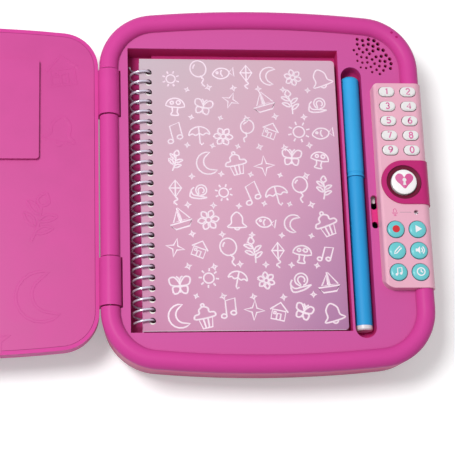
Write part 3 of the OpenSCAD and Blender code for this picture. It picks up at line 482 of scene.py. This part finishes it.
def heart():
    half = [(0, 0.45), (0.25, 0.85), (0.7, 0.9), (0.98, 0.5), (0.85, 0), (0.45, -0.45), (0, -0.95)]
    return [(True, half + [(-x, y) for x, y in half[-2:0:-1]], True)]


def moon():
    return [(True, arc_points(0, 0, 1, 60, 300, 12) + arc_points(0.35, 0, 0.72, 250, 110, 8),
             False)]


def kite():
    return [(True, [(0, 1), (0.6, 0.2), (0, -0.7), (-0.6, 0.2)], False),
            (False, [(0, 1), (0, -0.7)], False), (False, [(-0.6, 0.2), (0.6, 0.2)], False),
            (False, [(0, -0.7), (0.2, -0.95), (-0.15, -1.2), (0.15, -1.5)], True)]


def balloon():
    return [(True, arc_points(0, 0.3, 0.7, 0, 340, 16, 1.1), True),
            (False, [(-0.12, -0.5), (0, -0.42), (0.12, -0.5)], False),
            (False, [(0, -0.5), (0.15, -0.8), (-0.1, -1.1), (0.08, -1.5)], True),
            (False, arc_points(0, 0.3, 0.45, 110, 165, 5, 1.1), True)]


def boat():
    return [(True, [(-1, -0.35), (1, -0.35), (0.6, -0.85), (-0.6, -0.85)], False),
            (False, [(0, -0.35), (0, 1)], False),
            (True, [(0.1, 0.95), (0.85, -0.2), (0.1, -0.2)], False),
            (True, [(-0.1, 0.7), (-0.65, -0.2), (-0.1, -0.2)], False)]


def sprig():
    out = [(False, [(0, -1.1), (0.08, -0.4), (0, 0.3), (-0.08, 0.7)], True)]
    for s, y in ((1, -0.6), (-1, -0.3), (1, 0.0), (-1, 0.3)):
        out.append((True, [(0.05 * s, y), (0.4 * s, y + 0.05), (0.75 * s, y + 0.42),
                           (0.3 * s, y + 0.36)], True))
    out.append((True, [(-0.08, 0.7), (0.2, 0.95), (-0.08, 1.35), (-0.35, 0.95)], True))
    return out


def butterfly():
    out = [(False, [(0, -0.6), (0, 0.5)], False)]
    for s in (-1, 1):
        out.append((True, [(0, 0.1), (0.45 * s, 0.85), (0.95 * s, 0.75), (0.8 * s, 0.15)], True))
        out.append((True, [(0, -0.1), (0.65 * s, -0.05), (0.6 * s, -0.65), (0.2 * s, -0.6)], True))
        out.append((False, [(0, 0.5), (0.12 * s, 0.8), (0.3 * s, 0.95)], True))
    return out


def cup_cake():
    return [(True, [(-0.6, -0.1), (0.6, -0.1), (0.42, -0.95), (-0.42, -0.95)], False),
            (False, [(-0.2, -0.1), (-0.14, -0.95)], False),
            (False, [(0.2, -0.1), (0.14, -0.95)], False),
            (True, [(-0.8, -0.05), (-0.85, 0.3), (-0.45, 0.4), (-0.4, 0.75), (0, 0.95), (0.4, 0.75),
                    (0.45, 0.4), (0.85, 0.3), (0.8, -0.05)], True),
            (True, arc_points(0, 1.08, 0.14, 0, 320, 8), True)]


def fish():
    return [(True, [(-0.95, 0), (-0.4, 0.5), (0.3, 0.42), (0.62, 0), (0.3, -0.42), (-0.4, -0.5)],
             True),
            (True, [(0.6, 0), (1.05, 0.45), (1.0, -0.45)], False),
            (True, arc_points(-0.5, 0.12, 0.09, 0, 315, 7), True),
            (False, arc_points(0.25, 0, 0.42, 130, 230, 6), True)]


def mushroom():
    return [(True, arc_points(0, 0, 0.95, 0, 180, 12, 0.9) + [(-0.5, -0.12), (0.5, -0.12)], False),
            (False, [(-0.3, -0.12), (-0.24, -0.6), (-0.36, -0.95), (0.36, -0.95), (0.24, -0.6),
                     (0.3, -0.12)], True),
            (True, arc_points(-0.35, 0.35, 0.16, 0, 320, 8), True),
            (True, arc_points(0.3, 0.42, 0.2, 0, 320, 8), True)]


def sun():
    out = [(True, arc_points(0, 0, 0.5, 0, 340, 14), True)]
    for i in range(8):
        c, s = math.cos(math.pi / 4 * i), math.sin(math.pi / 4 * i)
        out.append((False, [(0.68 * c, 0.68 * s), (c, s)], False))
    return out


def house():
    return [(True, [(-0.7, -0.9), (0.7, -0.9), (0.7, 0.1), (-0.7, 0.1)], False),
            (False, [(-0.95, 0.05), (0, 0.95), (0.95, 0.05)], False),
            (True, [(-0.15, -0.9), (0.25, -0.9), (0.25, -0.25), (-0.15, -0.25)], False),
            (True, [(-0.5, -0.35), (-0.3, -0.35), (-0.3, -0.1), (-0.5, -0.1)], False)]


def snail():
    return [(False, arc_points(0.15, 0.15, 0.55, -90, 250, 16)
             + arc_points(0.15, 0.12, 0.3, 200, -60, 8), True),
            (False, [(0.85, -0.55), (0, -0.5), (-0.6, -0.45), (-0.85, 0.0), (-0.6, 0.35)], True),
            (False, [(0.85, -0.55), (0.1, -0.78), (-0.85, -0.7), (-0.85, 0.0)], True)]


def bell():
    return [(True, [(-0.85, -0.6), (-0.55, -0.2), (-0.5, 0.45), (0, 0.9), (0.5, 0.45), (0.55, -0.2),
                    (0.85, -0.6)], True),
            (False, arc_points(0, -0.62, 0.24, 180, 360, 8), True)]


def tune():
    return [(False, [(-0.35, -0.6), (-0.35, 0.8), (0.55, 1.0), (0.55, -0.35)], False),
            (True, arc_points(-0.58, -0.62, 0.24, 0, 330, 10, 0.8), True),
            (True, arc_points(0.32, -0.38, 0.24, 0, 330, 10, 0.8), True)]


def flower():
    out = [(True, arc_points(0, 0, 0.25, 0, 330, 10), True)]
    for i in range(6):
        a = math.pi / 3 * i
        c, s = math.cos(a), math.sin(a)
        petal = [(0.28, -0.08), (0.65, -0.26), (0.95, 0), (0.65, 0.26), (0.28, 0.08)]
        out.append((False, [(x * c - y * s, x * s + y * c) for x, y in petal], True))
    return out


def umbrella():
    return [(False, arc_points(0, 0, 1, 0, 180, 12, 0.85), False),
            (False, [(-1, 0), (-0.67, 0.16), (-0.34, 0), (0, 0.16), (0.34, 0), (0.67, 0.16),
                     (1, 0)], True),
            (False, [(0, 0.85), (0, -0.75), (0.14, -0.98), (0.34, -0.8)], False)]


def draw(bm, strokes, x, y, size, turn, width, z0, z1):
    """Draws strokes as raised lines round (x, y), in metres. Each stands a little above the
    last, so that crossing lines don't share a face."""
    c, s = math.cos(math.radians(turn)), math.sin(math.radians(turn))
    for k, (closed, points, curved) in enumerate(strokes):
        placed = [(x + size * (px * c - py * s), y + size * (px * s + py * c)) for px, py in points]
        line = catmull(placed, closed) if curved else [Vector(p) for p in placed]
        ribbon(bm, line, width, z0, z1 + k * STROKE_STEP, closed)


# Print on the notebook's cover: rows of motifs from the speaker end down, in mm and degrees

COVER_ROWS = [
    [sun, balloon, fish, kite, moon, flower, bell],
    [mushroom, butterfly, sparkle, boat, sprig, snail],
    [tune, umbrella, flower, balloon, house, sun, fish],
    [sprig, moon, cup_cake, sparkle, butterfly, mushroom],
    [kite, snail, sun, tune, umbrella, balloon, sprig],
    [boat, flower, bell, fish, moon, cup_cake],
    [sparkle, house, balloon, sprig, kite, mushroom, tune],
    [butterfly, sun, umbrella, flower, snail, boat],
    [moon, cup_cake, tune, sparkle, house, butterfly, bell],
]
ROW_PITCH = 16.2
ROW_SPAN = 91.0
BARE_STRIP = 9.0 * MM  # beside the coil, where the cover has no print
MOTIF_SIZE, MOTIF_GROWTH = 5.4, 1.5
MOTIF_SWAY, MOTIF_LIFT, MOTIF_TURN = 2.4, 4.2, 42
SPARKLE_SIZE, SPARKLE_GROWTH, SPARKLE_DROP = 1.6, 0.5, 7.4
SPARKLE_SHIFT, SPARKLE_TURN = 1.5, 40


def cover_motifs():
    """Motifs as (motif, x, y, half size, turn), in mm round the middle of the printed field. Each
    is shifted a little by its row and place, and small sparkles stand between them."""
    out = []
    middle_row, last_row = (len(COVER_ROWS) - 1) / 2, len(COVER_ROWS) - 1
    for i, row in enumerate(COVER_ROWS):
        step, y = ROW_SPAN / len(row), (middle_row - i) * ROW_PITCH
        for k, motif in enumerate(row):
            sway = (i * 37 + k * 53) % 11 / 10 - 0.5
            lift = (i * 29 + k * 41) % 7 / 6 - 0.5
            out.append((motif, (k + 0.5) * step - ROW_SPAN / 2 + MOTIF_SWAY * sway,
                        y + MOTIF_LIFT * lift, MOTIF_SIZE + MOTIF_GROWTH * sway,
                        MOTIF_TURN * sway))
            if i < last_row and k < len(row) - 1:
                out.append((sparkle, (k + 1) * step - ROW_SPAN / 2 - SPARKLE_SHIFT * lift,
                            y - SPARKLE_DROP + SPARKLE_SHIFT * sway,
                            SPARKLE_SIZE + SPARKLE_GROWTH * lift, SPARKLE_TURN * lift))
    return out


def cover_lines(name, width, rise, mat):
    """The cover's motifs as raised lines, with width and rise in mm."""
    bm = bmesh.new()
    x0 = cover_mid.x + BARE_STRIP / 2
    for motif, x, y, size, turn in cover_motifs():
        draw(bm, motif(), x0 + x * MM, cover_mid.y + y * MM, size * MM, turn, width * MM,
             cover_top - LINE_SINK, cover_top + rise * MM)
    add_piece(mesh_from(name, bm, False), "front_cover", [mat])


# Pale lines, and under them wider and fainter ones as their glow
cover_lines("cover_lines", 0.78, 0.05, print_line)
cover_lines("cover_glow", 1.5, 0.005, print_glow)


# Spiral wire: a smooth helix in the place of the CAD solid; angles in degrees

COIL_R = 5.4 * MM
WIRE_R = 0.62 * MM
WIRE_SIDES = 8
PITCH = 5.62 * MM
TURNS = 25
STEPS_PER_TURN = 22
FIRST_ANGLE = -160
LAST_ANGLE = 360 * (TURNS - 1) + 180
coil_x = (coil_low.x + coil_high.x) / 2
coil_z = (coil_low.z + coil_high.z) / 2
coil_start = cover_mid.y - TURNS * PITCH / 2


def coil():
    sweep = LAST_ANGLE - FIRST_ANGLE
    count = int(sweep / 360 * STEPS_PER_TURN)
    path = []
    for i in range(count + 1):
        a = FIRST_ANGLE + sweep * i / count
        r = math.radians(a)
        path.append(Vector((coil_x + COIL_R * math.cos(r), coil_start + PITCH * (a / 360 + 0.5),
                            coil_z - COIL_R * math.sin(r))))
    bm = bmesh.new()
    rings = []
    for i, p in enumerate(path):
        d = (path[min(i + 1, len(path) - 1)] - path[max(i - 1, 0)]).normalized()
        u = d.cross(Vector((0, 1, 0))).normalized()
        v = d.cross(u)
        rings.append([bm.verts.new(p + WIRE_R * (math.cos(k * math.tau / WIRE_SIDES) * u
                                                 + math.sin(k * math.tau / WIRE_SIDES) * v))
                      for k in range(WIRE_SIDES)])
    for a, b in zip(rings, rings[1:]):
        for k in range(WIRE_SIDES):
            bm.faces.new((a[k], a[(k + 1) % WIRE_SIDES], b[(k + 1) % WIRE_SIDES], b[k]))
    bm.faces.new(rings[0])
    bm.faces.new(rings[-1])
    piece = add_piece(mesh_from("spiral_wire", bm), "notebook", [coil_wire])
    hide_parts("notebook_coil")


coil()


# Numbers on the keys: strokes in a box 2 wide and 3 high

DIGITS = {
    "1": [(False, [(-0.5, 0.9), (0.1, 1.4), (0.1, -1.4)], False)],
    "2": [(False, arc_points(0, 0.6, 0.8, 170, -20, 8) + [(-0.8, -1.4), (0.9, -1.4)], False)],
    "3": [(False, arc_points(0, 0.7, 0.7, 160, -90, 8) + arc_points(0, -0.7, 0.75, 80, -160, 8),
           False)],
    "4": [(False, [(0.5, -1.4), (0.5, 1.4), (-0.9, -0.6), (0.95, -0.6)], False)],
    "5": [(False, [(0.8, 1.4), (-0.6, 1.4), (-0.7, 0.15)]
           + arc_points(0, -0.5, 0.85, 130, -150, 10), False)],
    "6": [(False, [(0.5, 1.4), (-0.5, 0.6), (-0.8, -0.5)]
           + arc_points(0, -0.6, 0.8, 180, 520, 14), True)],
    "7": [(False, [(-0.8, 1.4), (0.85, 1.4), (-0.2, -1.4)], False)],
    "8": [(True, arc_points(0, 0.72, 0.66, 0, 340, 12), True),
          (True, arc_points(0, -0.68, 0.78, 0, 340, 12), True)],
    "9": [(False, [(-0.5, -1.4), (0.5, -0.6), (0.8, 0.5)]
           + arc_points(0, 0.6, 0.8, 0, 340, 14), True)],
    "0": [(True, arc_points(0, 0, 0.85, 0, 345, 16, 1.65), True)],
}
NUMBER_SIZE, NUMBER_WIDTH, NUMBER_RISE = 1.15 * MM, 0.85 * MM, 0.06 * MM


def key_number(digit):
    key_low, key_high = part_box("key_" + digit)
    mid = (key_low + key_high) / 2
    bm = bmesh.new()
    draw(bm, DIGITS[digit], mid.x, mid.y, NUMBER_SIZE, 0, NUMBER_WIDTH, key_high.z - LINE_SINK,
         key_high.z + NUMBER_RISE)
    add_piece(mesh_from("number_" + digit, bm, False), "key_" + digit,
              [sign_soft])


for digit in DIGITS:
    key_number(digit)


# Signs on the round buttons, laid over their domes

SIGN_SIZE, SIGN_WIDTH = 2.5 * MM, 0.75 * MM
SIGN_SINK, SIGN_RISE = 0.1 * MM, 0.06 * MM


def sign(name, shapes, mat):
    """shapes: a list of ("line", strokes) and ("fill", outline) in a square from -1 to 1."""
    b_low, b_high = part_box(name)
    mid = (b_low + b_high) / 2
    z0, z1 = b_high.z, b_high.z + 0.1 * MM
    bm = bmesh.new()
    for kind, shape in shapes:
        if kind == "line":
            draw(bm, shape, mid.x, mid.y, SIGN_SIZE, 0, SIGN_WIDTH, z0, z1)
        else:
            outline = [Vector((mid.x + SIGN_SIZE * px, mid.y + SIGN_SIZE * py)) for px, py in shape]
            plate(bm, outline, z0, z1)
    bmesh.ops.subdivide_edges(bm, edges=bm.edges[:], cuts=2, use_grid_fill=True)
    drape(bm, name, SIGN_SINK, SIGN_RISE)
    add_piece(mesh_from(name + "_sign", bm, False), name, [mat])


sign("record_button", [("fill", arc_points(0, 0, 0.78, 0, 345, 22))], sign_red)
sign("play_button", [("fill", [(-0.5, 0.8), (0.85, 0), (-0.5, -0.8)])], sign_white)
sign("memo_button", [("line", [(True, [(-0.7, -0.75), (-0.55, -0.25), (0.45, 0.8), (0.8, 0.45),
                                       (-0.2, -0.6)], False)])], sign_white)
sign("sound_button", [("fill", [(-0.8, 0.3), (-0.35, 0.3), (0.1, 0.8), (0.1, -0.8), (-0.35, -0.3),
                                (-0.8, -0.3)]),
                      ("line", [(False, arc_points(0.05, 0, 0.55, -50, 50, 6), False),
                                (False, arc_points(0.05, 0, 0.95, -50, 50, 8), False)])],
     sign_white)
sign("music_button", [("line", [(False, [(-0.3, -0.55), (-0.3, 0.75), (0.6, 0.9), (0.6, -0.35)],
                                 False)]),
                      ("fill", arc_points(-0.52, -0.58, 0.27, 0, 340, 12)),
                      ("fill", arc_points(0.38, -0.38, 0.27, 0, 340, 12))], sign_white)
sign("clock_button", [("line", [(True, arc_points(0, 0, 0.8, 0, 345, 20), False),
                                (False, [(0, 0.5), (0, 0), (0.4, -0.15)], False)])], sign_white)


# Lock sign: a two-tone heart with a keyhole on the lock button

HEART_SIZE, HEART_STRETCH, HEART_SHIFT = 4.3 * MM, 1.12, 0.05
HEART_SINK, HEART_RISE = 0.1 * MM, 0.08 * MM
HOLE_R, HOLE_UP = 1.05 * MM, 0.8 * MM


def lock_sign():
    b_low, b_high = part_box("lock_button")
    mid = (b_low + b_high) / 2
    z0, z1 = b_high.z - HEART_SINK, b_high.z + HEART_RISE
    outline = catmull(heart()[0][1], True)
    bm = bmesh.new()
    for side, index in ((-1, 0), (1, 1)):
        half = [Vector((mid.x + HEART_STRETCH * HEART_SIZE * p.x,
                        mid.y + HEART_SIZE * (p.y + HEART_SHIFT)))
                for p in outline if p.x * side >= -1e-6]
        plate(bm, half, z0, z1, index)
    add_piece(mesh_from("lock_sign", bm, False), "lock_button",
              [sign_soft, sign_pink])
    hole = bmesh.new()
    plate(hole, circle(mid.x, mid.y + HOLE_UP, HOLE_R, 20), z0, z1 + 0.05 * MM)
    plate(hole, [Vector((mid.x + x * MM, mid.y + y * MM)) for x, y in
                 ((-0.4, 0.3), (0.4, 0.3), (0.85, -2.0), (-0.85, -2.0))], z0, z1 + 0.04 * MM)
    add_piece(mesh_from("lock_keyhole", hole, False), "lock_button", [white_keys])


lock_sign()


# Sign by the microphone hole: a small microphone and a thin line to the hole

MIC_SIGN_OUT, MIC_SIGN_SIZE, MIC_SIGN_WIDTH = 11.2 * MM, 1.9 * MM, 0.42 * MM
MIC_LINE_GAP, MIC_LINE_WIDTH = 2.6 * MM, 0.3 * MM


def microphone_sign():
    mic_low, mic_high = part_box("microphone")
    mic = (mic_low + mic_high) / 2
    x = mic.x - MIC_SIGN_OUT
    z0, z1 = panel_top - 0.15 * MM, panel_top + 0.05 * MM
    bm = bmesh.new()
    draw(bm, [(True, arc_points(0, 0.35, 0.42, 0, 340, 14, 1.5), True),
              (False, arc_points(0, 0.2, 0.78, 200, 340, 8), False),
              (False, [(0, -0.58), (0, -1)], False), (False, [(-0.4, -1), (0.4, -1)], False)],
         x, mic.y, MIC_SIGN_SIZE, 0, MIC_SIGN_WIDTH, z0, z1)
    add_piece(mesh_from("microphone_sign", bm, False), "case", [sign_pink])
    line = bmesh.new()
    ends = [Vector((x + MIC_LINE_GAP, mic.y)), Vector((mic.x - MIC_LINE_GAP, mic.y))]
    ribbon(line, ends, MIC_LINE_WIDTH, z0, z1)
    add_piece(mesh_from("microphone_line", line, False), "case", [key_grey])


microphone_sign()


# Faint raised outlines on the lid's inner face: motif, x and y from its middle, half size, turn

LID_MOTIFS = [
    (sun, -43, -2, 10, 12), (fish, -42, -62, 11, 14), (moon, 46, -58, 13, 15),
    (flower, -38, -32, 10, 0), (butterfly, 4, -34, 14, -14), (kite, -12, -68, 11, 16),
    (sprig, 44, -18, 11, -18), (bell, 55, 30, 9, -10), (sparkle, 24, -80, 7, 20),
    (tune, 2, -4, 8, 6), (house, 56, 64, 9, 8),
]
LID_LINE_WIDTH, LID_LINE_RISE = 1.8 * MM, 0.09 * MM


def lid_outlines():
    bm = bmesh.new()
    for motif, x, y, size, turn in LID_MOTIFS:
        draw(bm, motif(), lid_mid.x + x * MM, lid_mid.y + y * MM, size * MM, turn,
             LID_LINE_WIDTH, lid_face_z - LINE_SINK, lid_face_z + LID_LINE_RISE)
    add_piece(mesh_from("lid_outlines", bm, False), "lid", [lid_face])


lid_outlines()


# Painted shade of two small dimples on the rim's bead beside the speaker: dark discs laid on the
# bead in place of their hollows, in mm

DIMPLE_SHADE_SPOTS = ((145.8, 85.8), (148.3, 83.2))
DIMPLE_R = 0.75
DIMPLE_SINK, DIMPLE_RISE = 0.2 * MM, 0.09 * MM


def rim_dimple_shade():
    bm = bmesh.new()
    for x, y in DIMPLE_SHADE_SPOTS:
        plate(bm, circle(x * MM, y * MM, DIMPLE_R * MM, 16), 36 * MM, 37 * MM)
    drape(bm, "base_upper_shell", DIMPLE_SINK, DIMPLE_RISE)
    # Dark discs: the painted shade of the dimples' hollows
    add_piece(mesh_from("rim_dimple_shade", bm, False), "case", [case_dark])


rim_dimple_shade()


# Camera


def camera():
    data = bpy.data.cameras.new("camera")
    data.lens = CAM_LENS
    data.sensor_width = CAM_SENSOR
    data.clip_start, data.clip_end = CAM_CLIP
    cam = bpy.data.objects.new("camera", data)
    cam.location = CAM_PLACE
    cam.rotation_euler = [math.radians(a) for a in CAM_TURN]
    bpy.context.scene.collection.objects.link(cam)
    bpy.context.scene.camera = cam


camera()


# Floor, light and background


def seen_directly(tree):
    """1 where a camera, mirror or glass ray arrives, and 0 for light that falls on the object."""
    path = tree.nodes.new("ShaderNodeLightPath")
    first = tree.nodes.new("ShaderNodeMath")
    second = tree.nodes.new("ShaderNodeMath")
    first.operation = second.operation = "MAXIMUM"
    tree.links.new(path.outputs["Is Camera Ray"], first.inputs[0])
    tree.links.new(path.outputs["Is Glossy Ray"], first.inputs[1])
    tree.links.new(first.outputs[0], second.inputs[0])
    tree.links.new(path.outputs["Is Transmission Ray"], second.inputs[1])
    return second.outputs[0]


def floor():
    bm = bmesh.new()
    z = low.z - FLOOR_DROP
    bm.faces.new([bm.verts.new((x * FLOOR_HALF, y * FLOOR_HALF, z))
                  for x, y in ((-1, -1), (1, -1), (1, 1), (-1, 1))])
    piece = mesh_from("floor", bm, False)
    bpy.context.scene.collection.objects.link(piece)
    m = material("floor_white", FLOOR_WHITE, 0.9, grain=0.02, grain_scale=40, specular=0.0)
    tree = m.node_tree
    shader = tree.nodes["Principled BSDF"]
    shader.inputs["Emission Color"].default_value = (1, 1, 1, 1)
    lift = tree.nodes.new("ShaderNodeMath")
    lift.operation = "MULTIPLY"
    lift.inputs[1].default_value = FLOOR_LIFT
    tree.links.new(seen_directly(tree), lift.inputs[0])
    tree.links.new(lift.outputs[0], shader.inputs["Emission Strength"])
    piece.data.materials.append(m)
    piece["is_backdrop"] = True


def world():
    """A dome that is brighter overhead, and plain white where it is seen."""
    w = bpy.data.worlds.new("studio")
    w.use_nodes = True
    tree = w.node_tree
    back = tree.nodes["Background"]
    back.inputs["Color"].default_value = (1, 1, 1, 1)
    place = tree.nodes.new("ShaderNodeTexCoord")
    parts = tree.nodes.new("ShaderNodeSeparateXYZ")
    dome = tree.nodes.new("ShaderNodeMapRange")
    dome.inputs["To Min"].default_value = SKY_HORIZON
    dome.inputs["To Max"].default_value = SKY_ZENITH
    level = tree.nodes.new("ShaderNodeMapRange")
    level.inputs["To Max"].default_value = 1.0
    tree.links.new(place.outputs["Generated"], parts.inputs["Vector"])
    tree.links.new(parts.outputs["Z"], dome.inputs["Value"])
    tree.links.new(dome.outputs["Result"], level.inputs["To Min"])
    tree.links.new(seen_directly(tree), level.inputs["Value"])
    tree.links.new(level.outputs["Result"], back.inputs["Strength"])
    bpy.context.scene.world = w


def area(name, place, aim, size, power):
    """A rectangular lamp at place that points at aim."""
    data = bpy.data.lights.new(name, "AREA")
    data.shape = "RECTANGLE"
    data.size, data.size_y = size
    data.energy = power
    lamp = bpy.data.objects.new(name, data)
    lamp.location = place
    lamp.rotation_euler = (Vector(aim) - Vector(place)).to_track_quat("-Z", "Y").to_euler()
    bpy.context.scene.collection.objects.link(lamp)


floor()
world()
area("key", KEY_PLACE, KEY_AIM, KEY_SIZE, KEY_POWER)

bpy.context.scene.view_settings.view_transform = "Standard"

low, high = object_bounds()
